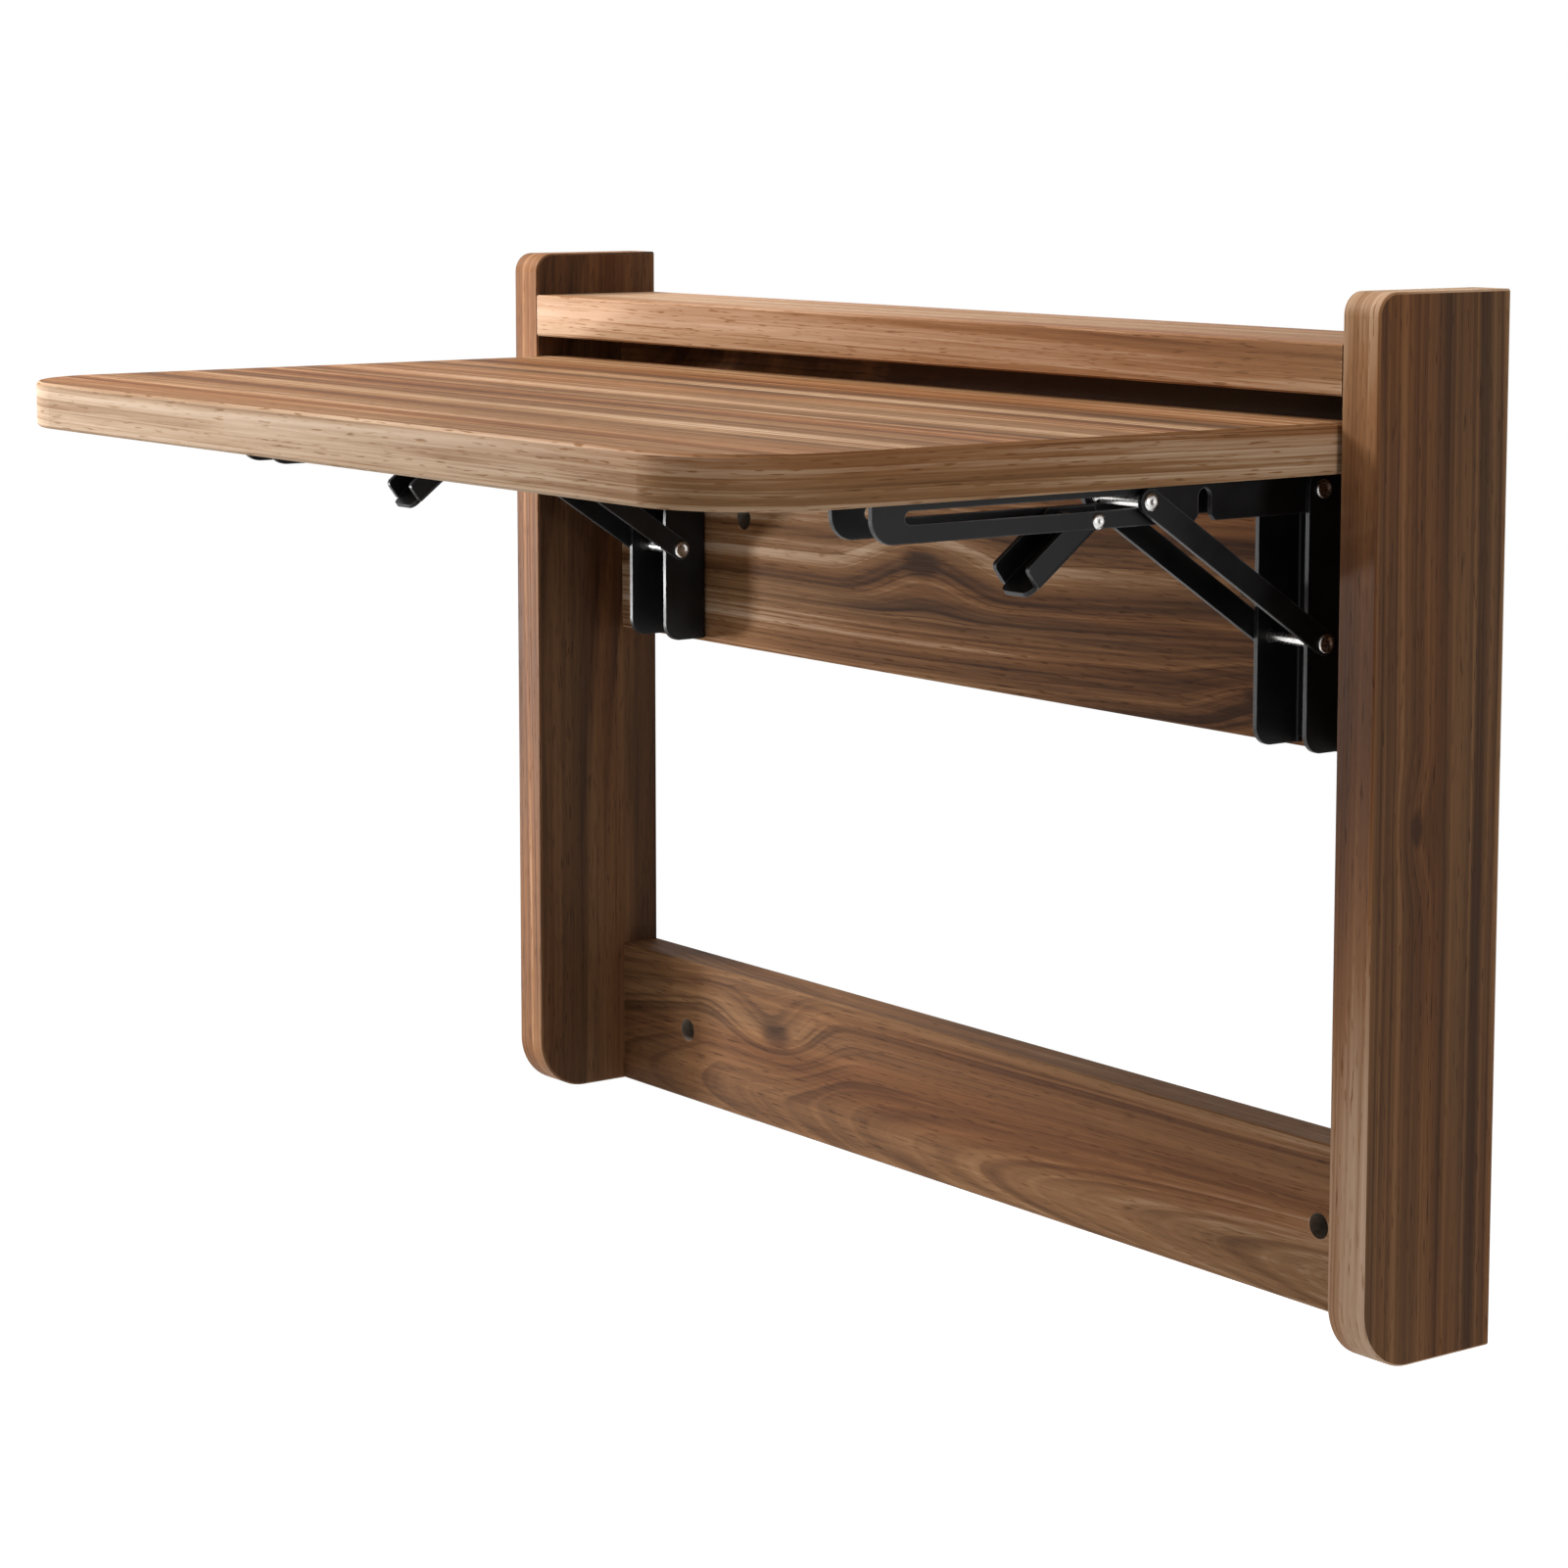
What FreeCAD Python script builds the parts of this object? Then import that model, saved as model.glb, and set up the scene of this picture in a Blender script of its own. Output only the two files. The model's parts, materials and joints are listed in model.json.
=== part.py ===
import FreeCAD, Part
import math
import os

# Wall-mounted folding desk: a shallow walnut frame screwed to the wall and a flap on two folding brackets.
# +X runs along the wall to the right, +Y into the wall, +Z up. The wall is the plane y = 0.
# The origin is midway between the two lower wall-screw holes, on the wall. Sizes are in millimetres.

# Wooden frame
overall_width = 600.0
overall_height = 420.0
board = 20.0
frame_depth = 70.0
shelf_drop = 20.0
rail_height = 70.0
back_panel_height = 148.0
panel_top_radius = 9.0
panel_bottom_radius = 25.0
board_edge = 0.8

# Wall-screw holes, from the side panels' inner faces and the boards' lower edges
wall_hole_radius = 3.25
rail_hole_inset = 56.0
panel_hole_inset = 104.0
panel_hole_rise = 63.0

# Flap
flap_side_gap = 2.0
flap_top_gap = 10.0
flap_setback = 55.0
flap_thickness = 20.0
flap_depth = 305.0
flap_corner_radius = 50.0
flap_edge = 1.2

# Folding brackets: place, sheet and widths
bracket_inset = 58.0
sheet = 2.0
bend_radius = 1.0
channel_gap = 0.3
arm_width = 26.0
lever_side_gap = 0.25

# Pivots
pivot_from_panel = 17.0
pivot_below_flap = 10.0
pivot_drop = 61.5
strut_reach = 93.0
pin_radius = 2.5
running_clearance = 0.06
fixed_clearance = 0.02

# Leg on the back panel
leg_depth = 24.5
leg_below_pivot = 106.0
leg_above_pivot = 9.0
leg_corner_radius = 8.0
leg_web_rise = 2.5

# Arm under the flap
arm_below_pivot = 9.5
arm_behind_pivot = 8.5
arm_tip_margin = 15.5
arm_rear_radius = 8.0
arm_tip_radius = 10.0
slot_spare = 36.0
notch_side_gap = 0.9
notch_offset = 0.3
notch_mouth = 2.2

# Strut bars
strut_half_width = 5.0

# Rivets
rivet_head_radius = 4.0
rivet_head_height = 1.3
strut_head_radius = 3.6
head_gap = 0.12

# Release lever, reaches measured ahead of the slide pin
lever_pivot_ahead = 22.5
lever_pivot_drop = 6.4
lever_pin_radius = 2.0
lever_head_radius = 3.1
lever_head_height = 1.2
lever_pin_gap = 0.3
lever_nose_ahead = 5.0
lever_nose_height = 5.8
lever_tip_ahead = 55.7
lever_tip_drop = 23.0
lever_slope_degrees = 37.0
lever_height = 10.9
lever_belly_gap = 0.6
lever_belly_radius = 4.0
lever_tip_radius = 2.4
lever_bend_radius = 2.4
lever_web_start = 1.5
lever_tongue = 4.0
lever_tongue_radius = 3.5

# Overshoot of cutting bodies, and the tolerance for picking edges
past = 1.0
near = 0.01

# Derived sizes of the frame and flap
V = FreeCAD.Vector
half_width = overall_width / 2.0
inner_half = half_width - board
floor_z = -rail_height / 2.0
shelf_z1 = floor_z + overall_height - shelf_drop
shelf_z0 = shelf_z1 - board
panel_z0 = shelf_z0 - back_panel_height
flap_half = inner_half - flap_side_gap
flap_z1 = shelf_z0 - flap_top_gap
flap_z0 = flap_z1 - flap_thickness
flap_front = -flap_setback - flap_depth

# Derived sizes of the brackets, half widths first
bracket_x = inner_half - bracket_inset
arm_half = arm_width / 2.0
arm_inner = arm_half - sheet
leg_inner = arm_half + channel_gap
leg_half = leg_inner + sheet
strut_inner = leg_half + channel_gap
strut_outer = strut_inner + sheet
lever_half = arm_inner - lever_side_gap
lever_inner = lever_half - sheet
bend_outside = bend_radius + sheet
running_radius = pin_radius + running_clearance
fixed_radius = pin_radius + fixed_clearance

# Places of the pivots; the folded strut hangs straight down with its pin in the slot
pivot_y = -board - pivot_from_panel
pivot_z = flap_z0 - pivot_below_flap
strut_pivot_z = pivot_z - pivot_drop
strut_length = math.hypot(strut_reach, pivot_drop)
slot_end = pivot_drop + strut_length + slot_spare
arm_reach = slot_end + arm_tip_margin
lever_pivot_reach = strut_reach + lever_pivot_ahead


def rounded_wire(corners, place):
    # Closed outline with true arcs; each corner is (first, second, radius).
    count = len(corners)
    pieces = []
    tangents = []
    for i in range(count):
        a, b, r = corners[i]
        pa, pb, pr = corners[i - 1]
        na, nb, nr = corners[(i + 1) % count]
        to_prev = V(pa - a, pb - b, 0)
        to_next = V(na - a, nb - b, 0)
        to_prev.normalize()
        to_next.normalize()
        point = V(a, b, 0)
        if r <= 0:
            tangents.append((point, None, point))
            continue
        half = to_prev.getAngle(to_next) / 2.0
        run = r / math.tan(half)
        middle = to_prev + to_next
        middle.normalize()
        centre = point + middle * (r / math.sin(half))
        tangents.append((point + to_prev * run, centre - middle * r, point + to_next * run))
    for i in range(count):
        start, mid, end = tangents[i]
        following = tangents[(i + 1) % count][0]
        if mid is not None:
            arc = Part.Arc(place(start.x, start.y), place(mid.x, mid.y), place(end.x, end.y))
            pieces.append(arc.toShape())
        if end.distanceToPoint(following) > 1e-4:
            pieces.append(Part.makeLine(place(end.x, end.y), place(following.x, following.y)))
    return Part.Wire(pieces)


def prism_x(corners, x0, x1):
    # Outline in (y, z) pushed from x0 to x1.
    face = Part.Face(rounded_wire(corners, lambda y, z: V(x0, y, z)))
    return face.extrude(V(x1 - x0, 0, 0))


def prism_y(corners, y0, y1):
    # Outline in (x, z) pushed from y0 to y1.
    face = Part.Face(rounded_wire(corners, lambda x, z: V(x, y0, z)))
    return face.extrude(V(0, y1 - y0, 0))


def prism_z(corners, z0, z1):
    # Outline in (x, y) pushed from z0 to z1.
    face = Part.Face(rounded_wire(corners, lambda x, y: V(x, y, z0)))
    return face.extrude(V(0, 0, z1 - z0))


def box(x0, x1, y0, y1, z0, z1):
    return Part.makeBox(x1 - x0, y1 - y0, z1 - z0, V(x0, y0, z0))


def rod_x(radius, x0, x1, y, z):
    return Part.makeCylinder(radius, x1 - x0, V(x0, y, z), V(1, 0, 0))


def rod_y(radius, y0, y1, x, z):
    return Part.makeCylinder(radius, y1 - y0, V(x, y0, z), V(0, 1, 0))


def bevel(shape, size, wanted):
    # Takes the arris off every edge that the test picks.
    edges = [e for e in shape.Edges if wanted(e.BoundBox)]
    return shape.makeChamfer(size, edges)


def at_uv(u, v):
    # A point of the open arm: u forward of the arm pivot, v above it.
    return (pivot_y - u, pivot_z + v)


def uv_corners(corners):
    return [at_uv(u, v) + (r,) for u, v, r in corners]


def save(shape, name):
    shape.exportStep("parts/" + name + ".step")


os.makedirs("parts", exist_ok=True)

# Side panels
panel_outline = [(0, floor_z, 0)]
panel_outline.append((-frame_depth, floor_z, panel_bottom_radius))
panel_outline.append((-frame_depth, floor_z + overall_height, panel_top_radius))
panel_outline.append((0, floor_z + overall_height, 0))
for name, x0 in (("left_side_panel", -half_width), ("right_side_panel", inner_half)):
    panel = prism_x(panel_outline, x0, x0 + board)
    panel = bevel(panel, board_edge, lambda b: b.XLength < near and b.YMin < -near)
    save(panel, name)

# Top shelf
shelf = box(-inner_half, inner_half, -frame_depth, 0, shelf_z0, shelf_z1)
shelf = bevel(shelf, board_edge, lambda b: b.YMax < -frame_depth + near and b.XLength > inner_half)
save(shelf, "top_shelf")

# Upper back panel with its wall-screw holes
back_panel = box(-inner_half, inner_half, -board, 0, panel_z0, shelf_z0)
back_panel = bevel(back_panel, board_edge, lambda b: b.YMax < -board + near and b.ZMax < panel_z0 + near)
for x in (panel_hole_inset - inner_half, inner_half - panel_hole_inset):
    hole = rod_y(wall_hole_radius, -board - past, past, x, panel_z0 + panel_hole_rise)
    back_panel = back_panel.cut(hole)
save(back_panel, "upper_back_panel")

# Lower back rail, its wall-screw holes at mid-height
rail = box(-inner_half, inner_half, -board, 0, floor_z, floor_z + rail_height)
rail = bevel(rail, board_edge, lambda b: b.YMax < -board + near and b.XLength > inner_half)
for x in (rail_hole_inset - inner_half, inner_half - rail_hole_inset):
    rail = rail.cut(rod_y(wall_hole_radius, -board - past, past, x, 0))
save(rail, "lower_rail")

# Desk flap
flap_outline = [(-flap_half, flap_front, flap_corner_radius)]
flap_outline += [(flap_half, flap_front, flap_corner_radius)]
flap_outline += [(flap_half, -flap_setback, 0), (-flap_half, -flap_setback, 0)]
flap = prism_z(flap_outline, flap_z0, flap_z1)
flap = bevel(flap, flap_edge, lambda b: b.ZLength < near)
save(flap, "desk_flap")


def rivet(half_length, radius, head_radius, head_height):
    # Headed pin along X, its heads seated at +-half_length.
    end = half_length + head_height
    pin = rod_x(radius, -end, end, 0, 0)
    pin = pin.fuse(rod_x(head_radius, half_length, end, 0, 0))
    pin = pin.fuse(rod_x(head_radius, -end, -half_length, 0, 0))
    return pin.removeSplitter()


# Bracket leg: U-channel with its web on the back panel, flanges forward
leg_front = -board - leg_depth
leg_back = -board - sheet
leg_profile = [(-leg_half, leg_front, 0), (-leg_half, -board, bend_outside)]
leg_profile += [(leg_half, -board, bend_outside), (leg_half, leg_front, 0)]
leg_profile += [(leg_inner, leg_front, 0), (leg_inner, leg_back, bend_radius)]
leg_profile += [(-leg_inner, leg_back, bend_radius), (-leg_inner, leg_front, 0)]
leg_z0 = pivot_z - leg_below_pivot
leg_z1 = pivot_z + leg_above_pivot
leg = prism_z(leg_profile, leg_z0, leg_z1)
leg_outline = [(-board, leg_z0, 0), (leg_front, leg_z0, leg_corner_radius)]
leg_outline += [(leg_front, leg_z1, leg_corner_radius), (-board, leg_z1, 0)]
leg = leg.common(prism_x(leg_outline, -leg_half - past, leg_half + past))
web_half = leg_inner - bend_radius
web_foot = box(-web_half, web_half, leg_back - past, -board + past, leg_z0 - past, leg_z0 + leg_web_rise)
leg = leg.cut(web_foot)
for z in (pivot_z, strut_pivot_z):
    leg = leg.cut(rod_x(fixed_radius, -leg_half - past, leg_half + past, pivot_y, z))

# Bracket arm: U-channel with its web under the flap, flanges down inside the leg
arm_low = pivot_z - arm_below_pivot
arm_under = flap_z0 - sheet
arm_profile = [(-arm_half, arm_low, 0), (-arm_half, flap_z0, bend_outside)]
arm_profile += [(arm_half, flap_z0, bend_outside), (arm_half, arm_low, 0)]
arm_profile += [(arm_inner, arm_low, 0), (arm_inner, arm_under, bend_radius)]
arm_profile += [(-arm_inner, arm_under, bend_radius), (-arm_inner, arm_low, 0)]
arm = prism_y(arm_profile, pivot_y + arm_behind_pivot, pivot_y - arm_reach)

# Its side outline: round ends below, and a flared notch that takes the strut pivot when the desk is folded
notch_half = pin_radius + notch_side_gap
notch_rear = pivot_drop - notch_offset - notch_half
notch_front = pivot_drop - notch_offset + notch_half
arm_outline = [(-arm_behind_pivot, -arm_below_pivot, arm_rear_radius)]
arm_outline += [(-arm_behind_pivot, pivot_below_flap, 0), (arm_reach, pivot_below_flap, 0)]
arm_outline += [(arm_reach, -arm_below_pivot, arm_tip_radius)]
mouth_top = notch_mouth - arm_below_pivot
arm_outline += [(notch_front + notch_mouth, -arm_below_pivot, 0), (notch_front, mouth_top, 0)]
arm_outline += [(notch_front, notch_half, notch_half), (notch_rear, notch_half, notch_half)]
arm_outline += [(notch_rear, mouth_top, 0), (notch_rear - notch_mouth, -arm_below_pivot, 0)]
arm = arm.common(prism_x(uv_corners(arm_outline), -arm_half - past, arm_half + past))

# The slot for the slide pin, the pivot hole and the hole of the lever's rivet
slot_rear = strut_reach - running_radius
slot = [(slot_rear, -running_radius, running_radius), (slot_end, -running_radius, running_radius)]
slot += [(slot_end, running_radius, running_radius), (slot_rear, running_radius, running_radius)]
arm = arm.cut(prism_x(uv_corners(slot), -arm_half - past, arm_half + past))
arm = arm.cut(rod_x(running_radius, -arm_half - past, arm_half + past, pivot_y, pivot_z))
lever_y, lever_z = at_uv(lever_pivot_reach, -lever_pivot_drop)
lever_rivet_hole = lever_pin_radius + fixed_clearance
arm = arm.cut(rod_x(lever_rivet_hole, -arm_half - past, arm_half + past, lever_y, lever_z))

# Strut: two flat round-ended bars outside the leg, from the strut pivot to the slide pin
along_u = strut_reach / strut_length
along_v = pivot_drop / strut_length
strut_outline = []
for run, side in ((0, -1), (strut_length, -1), (strut_length, 1), (0, 1)):
    end = -strut_half_width if run == 0 else strut_half_width
    u = along_u * (run + end) - along_v * strut_half_width * side
    v = along_v * (run + end) + along_u * strut_half_width * side - pivot_drop
    strut_outline.append((u, v, strut_half_width))
slide_y, slide_z = at_uv(strut_reach, 0)
bar = prism_x(uv_corners(strut_outline), strut_inner, strut_outer)
bar = bar.cut(rod_x(running_radius, strut_inner - past, strut_outer + past, pivot_y, strut_pivot_z))
bar = bar.cut(rod_x(fixed_radius, strut_inner - past, strut_outer + past, slide_y, slide_z))
far_bar = bar.mirror(V(0, 0, 0), V(1, 0, 0))

# Rivets at the slide pin: shank in the bar, head outside it
head_face = strut_outer + rivet_head_height
end_rivet = rod_x(pin_radius, strut_inner, head_face, slide_y, slide_z)
end_rivet = end_rivet.fuse(rod_x(strut_head_radius, strut_outer, head_face, slide_y, slide_z))
end_rivet = end_rivet.removeSplitter()
far_rivet = end_rivet.mirror(V(0, 0, 0), V(1, 0, 0))

# Slide pin across the arm's two slots, ending just inside the bars
pin_end = strut_inner - channel_gap
slide_pin = rod_x(pin_radius, -pin_end, pin_end, slide_y, slide_z)

# Pivot rivets
arm_pivot = rivet(leg_half, pin_radius, rivet_head_radius, rivet_head_height)
arm_pivot.translate(V(0, pivot_y, pivot_z))
strut_pivot = rivet(strut_outer + head_gap, pin_radius, rivet_head_radius, rivet_head_height)
strut_pivot.translate(V(0, pivot_y, strut_pivot_z))
lever_pivot = rivet(arm_half, lever_pin_radius, lever_head_radius, lever_head_height)
lever_pivot.translate(V(0, lever_y, lever_z))

# Release lever: side outline of its two plates, nose under the slide pin's path, handle sloping down
slope = math.radians(lever_slope_degrees)
nose_u = strut_reach + lever_nose_ahead
nose_v = -pin_radius - lever_pin_gap
tip_u = strut_reach + lever_tip_ahead
tip_v = -lever_tip_drop
neck_u = tip_u - (nose_v - tip_v) / math.tan(slope)
low_u = tip_u - lever_height * math.sin(slope)
low_v = tip_v - lever_height * math.cos(slope)
belly_v = -arm_below_pivot - lever_belly_gap
belly_u = low_u - (belly_v - low_v) / math.tan(slope)
lever_outline = [(nose_u, nose_v, 0), (neck_u, nose_v, 0)]
lever_outline += [(tip_u, tip_v, lever_tip_radius), (low_u, low_v, lever_tip_radius)]
lever_outline += [(belly_u, belly_v, lever_belly_radius), (nose_u, nose_v - lever_nose_height, 0)]
lever = prism_x(uv_corners(lever_outline), -lever_half, lever_half)


def handle_uv(run, height):
    # Point of the handle: run measured down it from the belly, height square to its lower side.
    u = belly_u + run * math.cos(slope) + height * math.sin(slope)
    v = belly_v - run * math.sin(slope) + height * math.cos(slope)
    return (u, v)


# The handle is bent from sheet, with round edges along its lower side from the belly to the tip
handle_run = tip_u - nose_u
handle_way = V(0, -math.cos(slope), -math.sin(slope)) * handle_run
bent_outline = [(-lever_half, 0, lever_bend_radius), (lever_half, 0, lever_bend_radius)]
bent_outline += [(lever_half, handle_run, 0), (-lever_half, handle_run, 0)]
bent_wire = rounded_wire(bent_outline, lambda x, h: V(x, *at_uv(*handle_uv(0, h))))
bent = Part.Face(bent_wire).extrude(handle_way)
ahead = [handle_uv(0, -handle_run), handle_uv(handle_run, -handle_run)]
ahead += [handle_uv(handle_run, handle_run), handle_uv(0, handle_run)]
ahead = [(u, v, 0) for u, v in ahead]
nose = lever.cut(prism_x(uv_corners(ahead), -lever_half - past, lever_half + past))
lever = nose.fuse(lever.common(bent)).removeSplitter()

# Its web goes on past the plates as a round-cornered tongue for the finger
tongue_half = lever_half - lever_bend_radius
handle_end = math.hypot(low_u - belly_u, low_v - belly_v)
tongue_outline = [(-tongue_half, handle_end - lever_height, 0), (tongue_half, handle_end - lever_height, 0)]
tongue_outline += [(tongue_half, handle_end + lever_tongue, lever_tongue_radius)]
tongue_outline += [(-tongue_half, handle_end + lever_tongue, lever_tongue_radius)]
tongue_wire = rounded_wire(tongue_outline, lambda x, run: V(x, *at_uv(*handle_uv(run, 0))))
tongue = Part.Face(tongue_wire).extrude(V(0, -math.sin(slope), math.cos(slope)) * sheet)
lever = lever.fuse(tongue).removeSplitter()

# The space between its plates, which leaves a web on the handle's lower side only
pocket = [handle_uv(handle_run, sheet), handle_uv(lever_web_start, sheet)]
pocket += [handle_uv(lever_web_start, -handle_run), handle_uv(-handle_run, -handle_run)]
pocket += [handle_uv(-handle_run, handle_run), handle_uv(handle_run, handle_run)]
pocket = [(u, v, 0) for u, v in pocket]
lever = lever.cut(prism_x(uv_corners(pocket), -lever_inner, lever_inner))
lever_hole = lever_pin_radius + running_clearance
lever = lever.cut(rod_x(lever_hole, -lever_half - past, lever_half + past, lever_y, lever_z))

# Pieces that each bracket has as its own node
bracket_pieces = {
    "leg": leg,
    "arm": arm,
    "strut_bar_left": far_bar,
    "strut_bar_right": bar,
    "strut_end_rivets": Part.makeCompound([end_rivet, far_rivet]),
    "slide_pin": slide_pin,
    "lever": lever,
}
for side_name, x in (("left", -bracket_x), ("right", bracket_x)):
    for piece_name, piece in bracket_pieces.items():
        placed = piece.copy()
        placed.translate(V(x, 0, 0))
        save(placed, side_name + "_" + piece_name)

# Rivets of both brackets, a node for each kind
rivets = {
    "arm_pivots": arm_pivot,
    "strut_pivots": strut_pivot,
    "lever_pivots": lever_pivot,
}
for group_name, piece in rivets.items():
    both = []
    for x in (-bracket_x, bracket_x):
        placed = piece.copy()
        placed.translate(V(x, 0, 0))
        both.append(placed)
    save(Part.makeCompound(both), group_name)
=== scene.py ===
import json
from math import cos, hypot, radians, sin

import bmesh
import bpy
from mathutils import Matrix, Vector


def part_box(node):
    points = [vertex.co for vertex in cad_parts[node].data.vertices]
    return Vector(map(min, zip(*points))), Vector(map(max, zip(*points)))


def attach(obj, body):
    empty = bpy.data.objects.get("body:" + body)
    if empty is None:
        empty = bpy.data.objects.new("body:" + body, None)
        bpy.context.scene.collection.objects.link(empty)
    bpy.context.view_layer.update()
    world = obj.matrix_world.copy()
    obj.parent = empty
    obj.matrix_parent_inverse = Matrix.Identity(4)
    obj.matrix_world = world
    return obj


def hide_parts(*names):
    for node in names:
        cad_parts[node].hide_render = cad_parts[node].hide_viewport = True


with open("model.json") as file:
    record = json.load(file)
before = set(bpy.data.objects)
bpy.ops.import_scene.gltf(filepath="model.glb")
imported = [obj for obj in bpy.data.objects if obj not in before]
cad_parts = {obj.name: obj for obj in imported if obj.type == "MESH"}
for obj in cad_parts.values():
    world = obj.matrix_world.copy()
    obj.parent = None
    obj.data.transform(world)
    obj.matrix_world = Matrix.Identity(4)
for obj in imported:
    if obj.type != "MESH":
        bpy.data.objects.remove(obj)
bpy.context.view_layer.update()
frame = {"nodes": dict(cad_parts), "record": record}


# Side panels. Two upright walnut boards, rounded at the front corners, that carry every other board.
# The grain runs up the faces, and a thin band of the same wood follows the front, top and bottom edges.
WALNUT_TONES = (
    (0.000, (0.050, 0.022, 0.011)),
    (0.240, (0.112, 0.050, 0.023)),
    (0.416, (0.188, 0.087, 0.039)),
    (0.608, (0.280, 0.140, 0.065)),
    (0.800, (0.475, 0.305, 0.192)),
    (1.000, (0.620, 0.440, 0.315)),
)
MIDDLE_TONE, TONE_SPAN = 0.56, 0.8
YEARS_PER_METRE, BROAD_RINGS, FINE_RINGS = 210.0, 70.0, 520.0
LATE_WOOD, PORE_DARK, EDGE_WEAR_AND_HIGHLIGHT = -0.30, -0.28, 0.22
UPRIGHT = (0.0, radians(90), 0.0)
PANEL_BAND = dict(face="X", run="Z", middle=0.175, half=0.21, front=-0.070)


def add(tree, kind, feeds=(), **settings):
    """One shader node with its settings; each feed is a constant or the socket that is linked to it."""
    made = tree.nodes.new("ShaderNode" + kind)
    for key, value in settings.items():
        setattr(made, key, value)
    for key, value in dict(feeds).items():
        if isinstance(value, bpy.types.NodeSocket):
            tree.links.new(value, made.inputs[key])
        else:
            made.inputs[key].default_value = value
    return made


def maths(tree, operation, first, second=0.0, third=0.0):
    return add(tree, "Math", {0: first, 1: second, 2: third}, operation=operation).outputs[0]


def spread(tree, value, low, high, to_low=0.0, to_high=1.0):
    feeds = {"Value": value, "From Min": low, "From Max": high, "To Min": to_low, "To Max": to_high}
    return add(tree, "MapRange", feeds, interpolation_type="SMOOTHSTEP").outputs[0]


def noise(tree, vector, detail, size=(1, 1, 1), place=(0, 0, 0), rough=0.5):
    mapped = add(tree, "Mapping", {"Vector": vector, "Scale": size, "Location": place}).outputs[0]
    feeds = {"Vector": mapped, "Scale": 1.0, "Detail": detail, "Roughness": rough}
    return add(tree, "TexNoise", feeds).outputs


def ring_noise(tree, radius, rings, rough):
    """A value that changes only from ring to ring, with so many rings to a metre."""
    feeds = {"W": maths(tree, "MULTIPLY", radius, rings), "Scale": 1.0, "Detail": 3.0, "Roughness": rough}
    return add(tree, "TexNoise", feeds, noise_dimensions="1D").outputs[0]


def ramp(tree, value, stops):
    made = add(tree, "ValToRGB", {0: value})
    while len(made.color_ramp.elements) < len(stops):
        made.color_ramp.elements.new(0.5)
    for element, (place, colour) in zip(made.color_ramp.elements, stops):
        element.position = place
        element.color = (*colour, 1.0)
    return made.outputs[0]


def arris(tree, reach):
    """One along the sharp edges of a piece and nought on its faces."""
    rounded = add(tree, "Bevel", {"Radius": reach}, samples=4).outputs[0]
    flat = add(tree, "NewGeometry").outputs["True Normal"]
    turned = add(tree, "VectorMath", {0: rounded, 1: flat}, operation="DOT_PRODUCT").outputs["Value"]
    return spread(tree, turned, 0.995, 0.80)


def blank(name):
    """A new material, its node tree and its surface shader."""
    material = bpy.data.materials.new(name)
    material.use_nodes = True
    tree = material.node_tree
    return material, tree, tree.nodes["Principled BSDF"]


def relief(tree, shader, height, strength, distance):
    bump = add(tree, "Bump", {"Height": height, "Strength": strength, "Distance": distance}).outputs[0]
    tree.links.new(bump, shader.inputs["Normal"])


def band_grain(tree, point, band):
    """Grain space of a board's edge band, which runs along the front edge and turns both corners."""
    axes = add(tree, "SeparateXYZ", {0: point}).outputs
    run = axes[band["run"]]
    side = maths(tree, "DIVIDE", maths(tree, "SUBTRACT", run, band["middle"]), band["half"])
    past = maths(tree, "SUBTRACT", axes["Y"], band["front"])
    length = maths(tree, "MULTIPLY_ADD", side, past, run)
    return add(tree, "CombineXYZ", {"X": length, "Y": axes[band["face"]], "Z": band["depth"]}).outputs[0]


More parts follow.
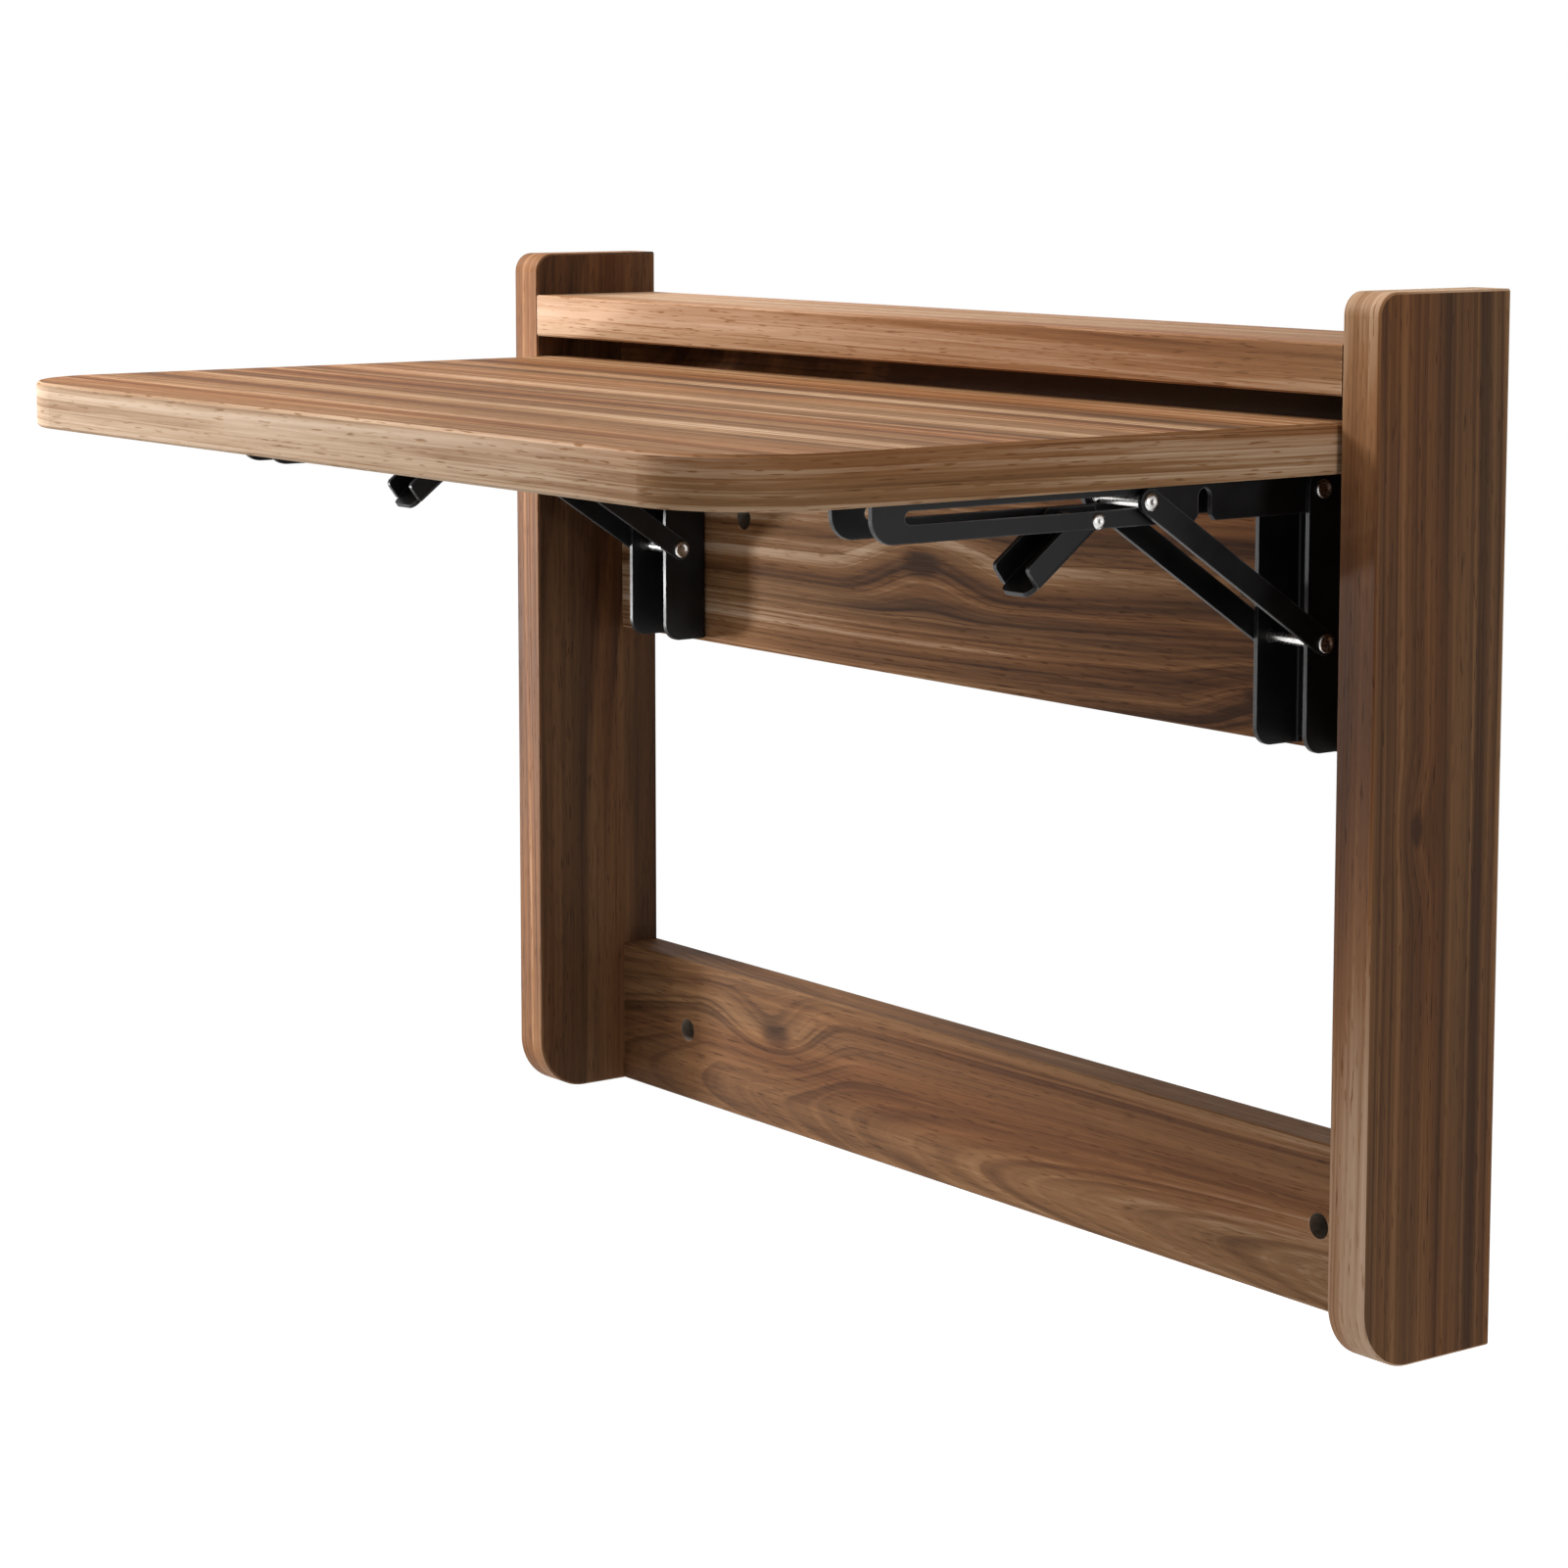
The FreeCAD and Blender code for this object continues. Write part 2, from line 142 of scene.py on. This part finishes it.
def walnut(name, turn, place, pith, lean, tone, fade=0.0, zones=1.0, lines=1.0, sway=1.0, gloss=0.12,
           knots=(), band=None, painted_top_shade=None):
    """Walnut cut from one log: rings round a leaning pith, with pores and fibre along the grain.

    Turn and place bring a board into grain space, with X along the grain, Y across it and Z into the board.
    """
    material, tree, coat = blank(name)
    where = add(tree, "TexCoord").outputs
    grain = add(tree, "Mapping", {"Vector": where["Object"], "Rotation": turn, "Location": place}).outputs[0]
    board = add(tree, "SeparateXYZ", {0: grain}).outputs
    lift = maths(tree, "MULTIPLY_ADD", board["X"], fade, tone - fade * place[0])
    # Painted shade: darkens the board across its grain between start and end, such as under the shelf.
    if painted_top_shade:
        top_shade_drop = spread(tree, board["Y"], painted_top_shade["start"], painted_top_shade["end"], 0.0, painted_top_shade["drop"])
        lift = maths(tree, "SUBTRACT", lift, top_shade_drop)
    if band:
        facing = add(tree, "SeparateXYZ", {0: where["Normal"]}).outputs[band["face"]]
        on_edge = maths(tree, "LESS_THAN", maths(tree, "ABSOLUTE", facing), 0.75)
        along = band_grain(tree, where["Object"], band)
        run = add(tree, "SeparateXYZ", {0: along}).outputs["X"]
        from_dark = maths(tree, "ABSOLUTE", maths(tree, "SUBTRACT", run, band["dark"]))
        band_lift = spread(tree, from_dark, 0.0, band["reach"], band["low"], band["high"])
        grain = add(tree, "Mix", {"Factor": on_edge, 4: grain, 5: along}, data_type="VECTOR").outputs[1]
        lift = spread(tree, on_edge, 0.0, 1.0, lift, band_lift)

    drift = noise(tree, grain, detail=1.0, size=(1.9, 11.0, 11.0), place=place)[1]
    bend = (0.0, 0.022 * sway, 0.022 * sway)
    bent = add(tree, "VectorMath", {0: drift, 1: bend, 2: grain}, operation="MULTIPLY_ADD").outputs[0]
    axes = add(tree, "SeparateXYZ", {0: bent}).outputs
    across = maths(tree, "SUBTRACT", axes["Y"], pith[0])
    deep = maths(tree, "SUBTRACT", maths(tree, "MULTIPLY_ADD", axes["X"], -lean, axes["Z"]), pith[1])
    across_squared = maths(tree, "MULTIPLY", across, across)
    deep_squared = maths(tree, "MULTIPLY", deep, deep)
    radius = maths(tree, "SQRT", maths(tree, "ADD", across_squared, deep_squared))
    heart = 0.0
    for knot in knots:
        centre = (-knot["spot"][0], -knot["spot"][1], 0.0)
        shrink = (0.42 / knot["reach"], 1 / knot["reach"], 0.0)
        flow = add(tree, "Mapping", {"Vector": bent, "Location": centre}).outputs[0]
        flow = add(tree, "VectorMath", {0: flow, 1: shrink}, operation="MULTIPLY").outputs[0]
        away = add(tree, "VectorMath", {0: flow}, operation="LENGTH").outputs["Value"]
        radius = maths(tree, "ADD", radius, spread(tree, away, 1.0, 0.0, 0.0, knot["push"]))
        heart = maths(tree, "ADD", heart, spread(tree, away, 0.26, 0.05, 0.0, 0.5))

    broad = ring_noise(tree, radius, BROAD_RINGS, 0.6)
    fine = ring_noise(tree, radius, FINE_RINGS, 0.65)
    wander = maths(tree, "MULTIPLY", broad, 5.0)
    year = maths(tree, "FRACT", maths(tree, "MULTIPLY_ADD", radius, YEARS_PER_METRE, wander))
    late = maths(tree, "MULTIPLY", spread(tree, year, 0.45, 0.92), spread(tree, year, 1.0, 0.92))
    broken = noise(tree, grain, detail=1.0, size=(7.0, 60.0, 60.0), place=(5, 1, 3))[0]
    late = maths(tree, "MULTIPLY", late, spread(tree, broken, 0.38, 0.62))
    patch = noise(tree, grain, detail=2.0, size=(3.0, 22.0, 22.0), place=(7, 3, 1))[0]
    fibre = noise(tree, grain, detail=3.0, size=(22.0, 1100.0, 1100.0), rough=0.7)[0]
    streak = noise(tree, grain, detail=3.0, size=(4.0, 280.0, 280.0), place=(1, 5, 2), rough=0.6)[0]
    dash = noise(tree, grain, detail=1.0, size=(75.0, 1000.0, 1000.0), place=(4, 2, 9))[0]
    pore = maths(tree, "MULTIPLY", spread(tree, dash, 0.60, 0.70), spread(tree, year, 1.0, 0.15, 0.25, 1.0))

    shade = maths(tree, "MULTIPLY", late, LATE_WOOD * lines)
    for layer, weight in ((broad, 1.30 * zones), (patch, 0.45 * zones), (fine, 0.65 * lines),
                          (streak, 0.80 * lines), (fibre, 0.50 * lines)):
        shade = maths(tree, "MULTIPLY_ADD", layer, weight, maths(tree, "SUBTRACT", shade, 0.5 * weight))
    if band:
        shade = maths(tree, "MULTIPLY", shade, spread(tree, on_edge, 0.0, 1.0, 1.0, band["figure"]))
    shade = maths(tree, "ADD", shade, maths(tree, "ADD", lift, MIDDLE_TONE))
    shade = maths(tree, "MULTIPLY_ADD", pore, PORE_DARK, shade)
    if knots:
        shade = maths(tree, "SUBTRACT", shade, heart)
    # Painted highlight, partly wear: the sharp edges are paler where the streak figure allows.
    wear_and_highlight = maths(tree, "MULTIPLY", arris(tree, 0.0016), spread(tree, streak, 0.35, 0.6))
    shade = maths(tree, "MULTIPLY_ADD", wear_and_highlight, EDGE_WEAR_AND_HIGHLIGHT, shade)
    tint = ramp(tree, maths(tree, "MULTIPLY", shade, TONE_SPAN), WALNUT_TONES)
    warmth = noise(tree, grain, detail=1.0, size=(1.6, 30.0, 30.0), place=(2, 8, 5))[0]
    hue = spread(tree, warmth, 0.3, 0.7, 0.496, 0.506)
    richness = spread(tree, warmth, 0.3, 0.7, 1.08, 0.98)
    tint = add(tree, "HueSaturation", {"Hue": hue, "Saturation": richness, "Color": tint}).outputs[0]
    tree.links.new(tint, coat.inputs["Base Color"])
    dull = maths(tree, "MULTIPLY_ADD", pore, 0.10, spread(tree, fibre, 0.2, 0.8, 0.54, 0.68))
    tree.links.new(dull, coat.inputs["Roughness"])
    coat.inputs["Specular IOR Level"].default_value = gloss
    relief(tree, coat, maths(tree, "MULTIPLY_ADD", pore, -0.8, fibre), strength=0.22, distance=0.0004)
    return material


def finish(name, material):
    slots = frame["nodes"][name].data.materials
    for number in range(len(slots)):
        slots[number] = material


left_band = dict(PANEL_BAND, depth=0.031, dark=0.186, reach=0.12, low=-0.22, high=-0.02, figure=1.0)
finish("left_side_panel",
       walnut("walnut_left_panel", UPRIGHT, place=(0.3, 0.02, 0.31), pith=(-0.16, -0.03), lean=0.02,
              tone=-0.28, lines=0.8, sway=0.6, band=left_band))
# Painted shade: the front edge band darkens round 0.235 m up, where the flap's shadow falls.
right_band = dict(PANEL_BAND, depth=0.047, dark=0.235, reach=0.20, low=-0.30, high=0.45, figure=0.7)
right_knot = dict(spot=(1.878, 0.056), reach=0.016, push=0.006)
finish("right_side_panel",
       walnut("walnut_right_panel", UPRIGHT, place=(1.7, 0.09, 0.26), pith=(-0.09, -0.07), lean=0.03,
              tone=-0.20, zones=1.2, lines=0.55, knots=(right_knot,), band=right_band))


# Top shelf. One walnut board between the side panels, flush with their front edges.
# Its grain runs along its length, and its tone is painted paler to the left, a painted highlight for the
# lamps' light and sheen there.
FACING = (radians(-90), 0.0, 0.0)
finish("top_shelf",
       walnut("walnut_shelf", FACING, place=(0.9, 0.05, 0.0), pith=(0.34, 0.16), lean=0.005,
              tone=0.305, fade=-0.50, zones=0.55, lines=0.7, sway=0.8))


# Upper back panel. A wide walnut board for the upper wall screws and both brackets.
# Its top is painted darker, painted shade for the dark gap under the shelf; its tone is also painted
# darker towards the right, painted shade where less lamp light reaches.
# Its wall holes are drilled wide from the front, through the veneer and into the paler core, so that the
# screw heads sit deep in the board on a step.
MOUTH_RADIUS, MOUTH_DEPTH, STEP_RISE = 0.0055, 0.012, 0.0001
SAME_POINT = 1e-6


def board_core():
    material, tree, core = blank("board_core")
    where = add(tree, "TexCoord").outputs["Object"]
    chips = noise(tree, where, detail=3.0, size=(900, 900, 900), rough=0.6)[0]
    tint = ramp(tree, chips, ((0.3, (0.17, 0.135, 0.105)), (0.7, (0.30, 0.25, 0.205))))
    tree.links.new(tint, core.inputs["Base Color"])
    tree.links.new(spread(tree, chips, 0.3, 0.7, 0.70, 0.86), core.inputs["Roughness"])
    core.inputs["Specular IOR Level"].default_value = 0.12
    relief(tree, core, chips, strength=0.20, distance=0.0003)
    return material


def placed(name, shape, materials, body, node=None):
    """Closes a shape, shades its round faces smooth and hangs it on its body as a finished piece."""
    bmesh.ops.remove_doubles(shape, verts=shape.verts, dist=SAME_POINT)
    bmesh.ops.recalc_face_normals(shape, faces=shape.faces)
    for edge in shape.edges:
        edge.smooth = len(edge.link_faces) < 2 or edge.calc_face_angle() < radians(32)
    for face in shape.faces:
        face.smooth = True
    mesh = bpy.data.meshes.new(name)
    shape.to_mesh(mesh)
    shape.free()
    if "custom_normal" in mesh.attributes:
        mesh.attributes.remove(mesh.attributes["custom_normal"])
    for material in materials:
        mesh.materials.append(material)
    piece = bpy.data.objects.new(name, mesh)
    bpy.context.scene.collection.objects.link(piece)
    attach(piece, body)
    if node:
        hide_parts(node)


def within(face, x, z, radius, spare=1.02):
    return all(hypot(vert.co.x - x, vert.co.z - z) < spare * radius for vert in face.verts)


def drilled_board(name, node, screws, wood):
    """A copy of a board's solid whose wall holes have a wide mouth, down to a step for the screw head."""
    mount = next(mount for mount in frame["record"]["mounts"] if mount["name"] == screws)
    bore = mount["dims"]["hole_r_mm"] / 1000
    middle, reach, z = mount["pos_m"][0], mount["dims"]["spacing_x_mm"] / 2000, mount["pos_m"][2]
    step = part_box(node)[0].y + MOUTH_DEPTH
    widen = MOUTH_RADIUS / bore
    board = bmesh.new()
    board.from_mesh(frame["nodes"][node].data)
    bmesh.ops.remove_doubles(board, verts=board.verts, dist=SAME_POINT)
    for x in (middle - reach, middle + reach):
        for y in (step, step + STEP_RISE):
            wall = [face for face in board.faces if within(face, x, z, bore)]
            rims = dict.fromkeys(part for face in wall for part in (*face.edges, *face.verts))
            bmesh.ops.bisect_plane(board, geom=wall + list(rims), plane_co=(0, y, 0), plane_no=(0, 1, 0))
        wall = [face for face in board.faces if within(face, x, z, bore)]
        bored = dict.fromkeys(vert for face in wall for vert in face.verts)
        mouth = [vert for vert in bored if vert.co.y < step + 0.5 * STEP_RISE]
        bmesh.ops.scale(board, verts=mouth, vec=(widen, 1, widen), space=Matrix.Translation((-x, 0, -z)))
        for face in board.faces:
            if within(face, x, z, MOUTH_RADIUS):
                face.material_index = 1
    placed(name, board, (wood, core), "frame", node)


core = board_core()
left_swirl = dict(spot=(0.161, 0.285), reach=0.030, push=0.010)
right_swirl = dict(spot=(0.387, 0.245), reach=0.026, push=0.010)
# Painted shade: the top of the back panel, seen through the gap under the shelf, is darkened.
gap_shade_at_top = dict(start=0.325, end=0.350, drop=0.60)
# Painted shade: fade darkens the back panel towards the right, where less lamp light reaches.
drilled_board("drilled_back_panel", "upper_back_panel", "upper_wall_screws",
              walnut("walnut_back_panel", FACING, place=(0.2, 0.02, 0.0), pith=(0.37, 0.09), lean=0.05,
                     tone=-0.05, fade=-1.3, zones=1.4, lines=1.05, gloss=0.03,
                     knots=(left_swirl, right_swirl), painted_top_shade=gap_shade_at_top))


# Lower rail. A walnut board between the side panels, flush with their bottom ends, that holds the foot of the
# frame to the wall. Its two screw holes are drilled like those of the back panel.
rail_swirl = dict(spot=(0.350, 0.080), reach=0.028, push=0.012)
# Painted shade: fade darkens the rail towards its left end, where the left side panel casts its shadow.
drilled_board("drilled_rail", "lower_rail", "lower_wall_screws",
              walnut("walnut_rail", FACING, place=(0.5, 0.06, 0.0), pith=(0.05, -0.03), lean=0.07,
                     tone=0.02, fade=0.5, zones=0.9, lines=0.75, gloss=0.08, knots=(rail_swirl,)))


# Desk flap. A walnut board with wide rounded front corners and an edge band of the same wood all round.
# It is screwed to the two bracket arms, and its grain runs from side to side.
LEVEL = (0.0, 0.0, 0.0)
# Painted shade and light: darker at the right front corner, turned from the lamps, and paler along the front.
flap_band = dict(face="Z", run="X", middle=0.0, half=0.278, front=-0.360, depth=0.093,
                 dark=0.33, reach=0.26, low=0.25, high=0.50, figure=0.95)
finish("desk_flap",
       walnut("walnut_flap", LEVEL, place=(0.1, 0.45, 0.0), pith=(0.60, -0.10), lean=0.01,
              tone=0.06, zones=1.15, sway=0.35, gloss=0.05, band=flap_band))


# Bracket sheet parts. Legs, arms, struts and release levers are 2 mm steel, punched, bent and powder coated
# satin black; the cut edges are painted greyer, a painted highlight along them, partly a thinner coat.
COAT_TONES = (
    (0.00, (0.0055, 0.0055, 0.0060)),
    (0.35, (0.0120, 0.0120, 0.0125)),
    (0.65, (0.0700, 0.0700, 0.0720)),
    (1.00, (0.1900, 0.1900, 0.1900)),
)


def black_coat():
    material, tree, coat = blank("black_powder_coat")
    where = add(tree, "TexCoord").outputs["Object"]
    cloud = noise(tree, where, detail=2.0, size=(40, 40, 40))[0]
    peel = noise(tree, where, detail=2.0, size=(1500, 1500, 1500))[0]
    # Painted highlight, partly a thinner coat: the cut edges are greyer.
    rubbed_and_glint = maths(tree, "MULTIPLY", arris(tree, 0.0011), spread(tree, cloud, 0.2, 0.6, 0.55, 1.0))
    edge_wear_and_glint = maths(tree, "MULTIPLY", rubbed_and_glint, 0.62)
    shade = maths(tree, "ADD", edge_wear_and_glint, spread(tree, cloud, 0.3, 0.7, 0.0, 0.25))
    shade = maths(tree, "MULTIPLY_ADD", peel, 0.08, shade)
    tree.links.new(ramp(tree, shade, COAT_TONES), coat.inputs["Base Color"])
    tree.links.new(spread(tree, cloud, 0.2, 0.8, 0.34, 0.48), coat.inputs["Roughness"])
    coat.inputs["Specular IOR Level"].default_value = 0.24
    relief(tree, coat, peel, strength=0.10, distance=0.0003)
    return material


powder = black_coat()
for side in ("left", "right"):
    for piece in ("leg", "arm", "strut_bar_left", "strut_bar_right", "lever"):
        finish(f"{side}_{piece}", powder)


# Slide pins. Turned pins of bright zinc plated steel, one to a bracket.
# Each runs in the two slots of its arm, and its ends stop just inside the strut bars.
ZINC_TONES = ((0.3, (0.56, 0.55, 0.53)), (0.7, (0.74, 0.73, 0.71)))
TURNING_MARKS = (3000, 500, 500)


def bright_zinc():
    material, tree, metal = blank("bright_zinc")
    where = add(tree, "TexCoord").outputs["Object"]
    cloud = noise(tree, where, detail=2.0, size=(160, 160, 160))[0]
    rings = noise(tree, where, detail=2.0, size=TURNING_MARKS, rough=0.6)[0]
    tree.links.new(ramp(tree, cloud, ZINC_TONES), metal.inputs["Base Color"])
    tree.links.new(spread(tree, rings, 0.25, 0.75, 0.20, 0.36), metal.inputs["Roughness"])
    metal.inputs["Metallic"].default_value = 1.0
    relief(tree, metal, rings, strength=0.08, distance=0.0002)
    return material


zinc = bright_zinc()
for side in ("left", "right"):
    finish(f"{side}_slide_pin", zinc)


# Rivets. Each pivot is a steel rivet whose heads are set by a punch: a rolled rim round a dished middle on
# the fixed pivots, and a low dome with a small punch mark on the struts and levers.
BRACKETS = (-0.222, 0.222)
PIVOT_Y, PIVOT_Z, STRUT_PIVOT_Z = -0.037, 0.305, 0.2435
LEVER_PIVOT_Y, LEVER_PIVOT_Z = -0.1525, 0.2986
STRUT_END_Y, STRUT_END_RADIUS, BAR_INSIDE = -0.130, 0.0025, 0.0156


def turn_on_x(shape, middle, outline):
    """Turns an outline of (along X, radius) points about a line along X through the middle."""
    verts = [shape.verts.new((middle[0] + x, middle[1] + radius, middle[2])) for x, radius in outline]
    edges = [shape.edges.new(pair) for pair in zip(verts, verts[1:])]
    bmesh.ops.spin(shape, geom=verts + edges, cent=middle, axis=(1, 0, 0), angle=radians(360), steps=40,
                   use_merge=True)


def dished_head(seat, top, rim, shank):
    deep = 0.55 * (top - seat)
    dish = [(top - deep, 0.0), (top - deep, 0.42 * rim), (top - 0.8 * deep, 0.54 * rim),
            (top - 0.2 * deep, 0.64 * rim)]
    roll = [(top, 0.74 * rim), (top - 0.0001, 0.87 * rim), (top - 0.00035, 0.96 * rim), (top - 0.0007, rim)]
    return dish + roll + [(seat, rim), (seat, shank)]


def domed_head(seat, top, rim, shank):
    tall = top - seat
    mark = [(top - 0.25 * tall, 0.0), (top - 0.18 * tall, 0.20 * rim), (top, 0.36 * rim)]
    dome = [(top - 0.06 * tall, 0.60 * rim), (top - 0.24 * tall, 0.84 * rim), (top - 0.52 * tall, 0.96 * rim),
            (top - 0.75 * tall, rim)]
    return mark + dome + [(seat, rim), (seat, shank)]


def mirrored(outline):
    return [(-x, radius) for x, radius in outline]


arm_head = dished_head(seat=0.0153, top=0.0166, rim=0.0040, shank=0.0025)
strut_head = dished_head(seat=0.01772, top=0.01902, rim=0.0040, shank=0.0025)
lever_head = domed_head(seat=0.0130, top=0.0142, rim=0.0031, shank=0.0020)
for name, node, body, y, z, head in (
    ("arm_pivot_rivets", "arm_pivots", "frame", PIVOT_Y, PIVOT_Z, arm_head),
    ("strut_pivot_rivets", "strut_pivots", "frame", PIVOT_Y, STRUT_PIVOT_Z, strut_head),
    ("lever_pivot_rivets", "lever_pivots", "desk", LEVER_PIVOT_Y, LEVER_PIVOT_Z, lever_head),
):
    turned = bmesh.new()
    for x in BRACKETS:
        turn_on_x(turned, (x, y, z), head + mirrored(head)[::-1])
    placed(name, turned, (zinc,), body, node)

end_head = domed_head(seat=0.0176, top=0.0189, rim=0.0036, shank=STRUT_END_RADIUS)
end_head += [(BAR_INSIDE, STRUT_END_RADIUS), (BAR_INSIDE, 0.0)]
for side, x in zip(("left", "right"), BRACKETS):
    turned = bmesh.new()
    for outline in (end_head, mirrored(end_head)):
        turn_on_x(turned, (x, STRUT_END_Y, PIVOT_Z), outline)
    placed(f"{side}_strut_end_heads", turned, (zinc,), f"{side}_strut",
           f"{side}_strut_end_rivets")


# Wood screws. Bright pan-head screws with a cross recess hold the arms under the flap and the legs on the
# back panel, three to a channel, with their heads down on the webs.
ARM_SCREWS_Y, ARM_WEB_Z = (-0.073, -0.159, -0.237), 0.3130
LEG_SCREWS_Z, LEG_WEB_Y = (0.2135, 0.2650, 0.2870), -0.0220
HEAD_RADIUS, HEAD_HEIGHT, RECESS_HALF, RECESS_REACH, RECESS_DEPTH = 0.0035, 0.0021, 0.00055, 0.00175, 0.0012


def pan_head(shape, seat, out):
    """One screw head of 7 mm, its flat side at the seat and its cross recess facing out."""
    head = bmesh.new()
    dome = [(HEAD_RADIUS, 0.0), (HEAD_RADIUS, 0.35 * HEAD_HEIGHT), (0.88 * HEAD_RADIUS, 0.75 * HEAD_HEIGHT),
            (0.66 * HEAD_RADIUS, HEAD_HEIGHT)]
    verts = [head.verts.new((radius, 0.0, height)) for radius, height in dome]
    edges = [head.edges.new(pair) for pair in zip(verts, verts[1:])]
    bmesh.ops.spin(head, geom=verts + edges, cent=(0, 0, 0), axis=(0, 0, 1), angle=radians(360), steps=32,
                   use_merge=True)
    bmesh.ops.remove_doubles(head, verts=head.verts, dist=SAME_POINT)
    rim = [edge for edge in head.edges
           if all(abs(vert.co.z - HEAD_HEIGHT) < SAME_POINT for vert in edge.verts)]
    wing = ((RECESS_HALF, RECESS_HALF), (RECESS_HALF, RECESS_REACH), (-RECESS_HALF, RECESS_REACH))
    corners = []
    for quarter in range(4):
        spin = Matrix.Rotation(radians(90 * quarter), 3, "Z")
        corners += [spin @ Vector((x, y, HEAD_HEIGHT)) for x, y in wing]
    cross = head.faces.new([head.verts.new(corner) for corner in corners])
    bmesh.ops.bridge_loops(head, edges=rim + list(cross.edges))
    recess = bmesh.ops.extrude_face_region(head, geom=[cross])["geom"]
    sunk = [part for part in recess if isinstance(part, bmesh.types.BMVert)]
    bmesh.ops.translate(head, verts=sunk, vec=(0, 0, -RECESS_DEPTH))
    bmesh.ops.scale(head, verts=sunk, vec=(0.6, 0.6, 1.0))
    if cross.is_valid:
        bmesh.ops.delete(head, geom=[cross], context="FACES_ONLY")
    turn = Vector((0, 0, 1)).rotation_difference(Vector(out)).to_matrix().to_4x4()
    bmesh.ops.transform(head, matrix=Matrix.Translation(seat) @ turn, verts=head.verts)
    kept = bpy.data.meshes.new("head")
    head.to_mesh(kept)
    head.free()
    shape.from_mesh(kept)
    bpy.data.meshes.remove(kept)


arm_screws = bmesh.new()
leg_screws = bmesh.new()
for x in BRACKETS:
    for y in ARM_SCREWS_Y:
        pan_head(arm_screws, (x, y, ARM_WEB_Z), (0, 0, -1))
    for z in LEG_SCREWS_Z:
        pan_head(leg_screws, (x, LEG_WEB_Y, z), (0, -1, 0))
placed("arm_screws", arm_screws, (zinc,), "desk")
placed("leg_screws", leg_screws, (zinc,), "frame")


# Studio. A pale floor at room height under the wall-mounted desk, and a white surround.
# Four square lamps light the desk, three of them from the left and a weak one from the right.
FLOOR_HALF, FLOOR_Z, FLOOR_GLOW = 1.4, -0.42, 0.75
WHITE = (1.0, 1.0, 1.0, 1.0)
ROOM_LIGHT = 0.27
DESK_MIDDLE = Vector((0.0, -0.15, 0.18))
PI_SQUARED = 9.8696


def seen_straight(tree):
    """One where the camera, a mirror or a glass sees the surface, and nought where it lights the desk."""
    ray = add(tree, "LightPath").outputs
    mirrored_ray = maths(tree, "MAXIMUM", ray["Is Glossy Ray"], ray["Is Transmission Ray"])
    return maths(tree, "MAXIMUM", ray["Is Camera Ray"], mirrored_ray)


floor_mesh = bpy.data.meshes.new("floor")
sheet = bmesh.new()
bmesh.ops.create_grid(sheet, x_segments=1, y_segments=1, size=FLOOR_HALF,
                      matrix=Matrix.Translation((0, 0, FLOOR_Z)))
sheet.to_mesh(floor_mesh)
sheet.free()
floor = bpy.data.objects.new("floor", floor_mesh)
bpy.context.scene.collection.objects.link(floor)
pale, tree, first_shader = blank("pale_floor")
tree.nodes.remove(first_shader)
glow = maths(tree, "MULTIPLY", seen_straight(tree), FLOOR_GLOW)
matt = add(tree, "BsdfDiffuse", {"Color": (0.50, 0.50, 0.50, 1.0)}).outputs[0]
bright = add(tree, "Emission", {"Color": WHITE, "Strength": glow}).outputs[0]
both = add(tree, "AddShader", {0: matt, 1: bright}).outputs[0]
clear = add(tree, "BsdfTransparent").outputs[0]
under = add(tree, "NewGeometry").outputs["Backfacing"]
upper_side = add(tree, "MixShader", {0: under, 1: both, 2: clear}).outputs[0]
tree.links.new(upper_side, tree.nodes["Material Output"].inputs["Surface"])
floor_mesh.materials.append(pale)

world = bpy.data.worlds.new("surround")
bpy.context.scene.world = world
world.use_nodes = True
tree = world.node_tree
surround = tree.nodes["Background"]
tree.links.new(spread(tree, seen_straight(tree), 0.0, 1.0, ROOM_LIGHT, 1.0), surround.inputs["Strength"])
surround.inputs["Color"].default_value = WHITE


def lamp(name, azimuth, elevation, far, size, level):
    """A square lamp that lights a face turned to it to the given level, where 1 shows a colour as written."""
    light = bpy.data.lights.new(name, "AREA")
    light.shape = "SQUARE"
    light.size = size
    light.energy = level * PI_SQUARED * far * far
    holder = bpy.data.objects.new(name, light)
    bpy.context.scene.collection.objects.link(holder)
    flat = cos(radians(elevation))
    back = Vector((sin(radians(azimuth)) * flat, -cos(radians(azimuth)) * flat, sin(radians(elevation))))
    holder.location = DESK_MIDDLE + far * back
    holder.rotation_mode = "QUATERNION"
    holder.rotation_quaternion = (-back).to_track_quat("-Z", "Y")


lamp("low_lamp", azimuth=-68, elevation=-4, far=1.1, size=0.13, level=0.72)
lamp("key_lamp", azimuth=-58, elevation=38, far=1.7, size=0.5, level=1.10)
lamp("top_lamp", azimuth=-20, elevation=70, far=2.4, size=1.4, level=0.50)
lamp("side_lamp", azimuth=90, elevation=4, far=2.2, size=0.4, level=0.20)


# Camera. A long lens to the right of the desk and slightly above it, looking a little down.
# A small shift of the lens puts the desk where it is in the photograph's frame.
LOOK_DOWN, LOOK_ROUND = 6.8163, 53.4144
view = bpy.data.cameras.new("view")
view.lens = 92.09
view.sensor_width = 36.0
view.shift_y = -0.1127
eye = bpy.data.objects.new("view", view)
bpy.context.scene.collection.objects.link(eye)
eye.location = (1.37924, -1.15033, 0.44663)
eye.rotation_euler = (radians(90 - LOOK_DOWN), 0.0, radians(LOOK_ROUND))
bpy.context.scene.camera = eye
bpy.context.scene.view_settings.view_transform = "Standard"
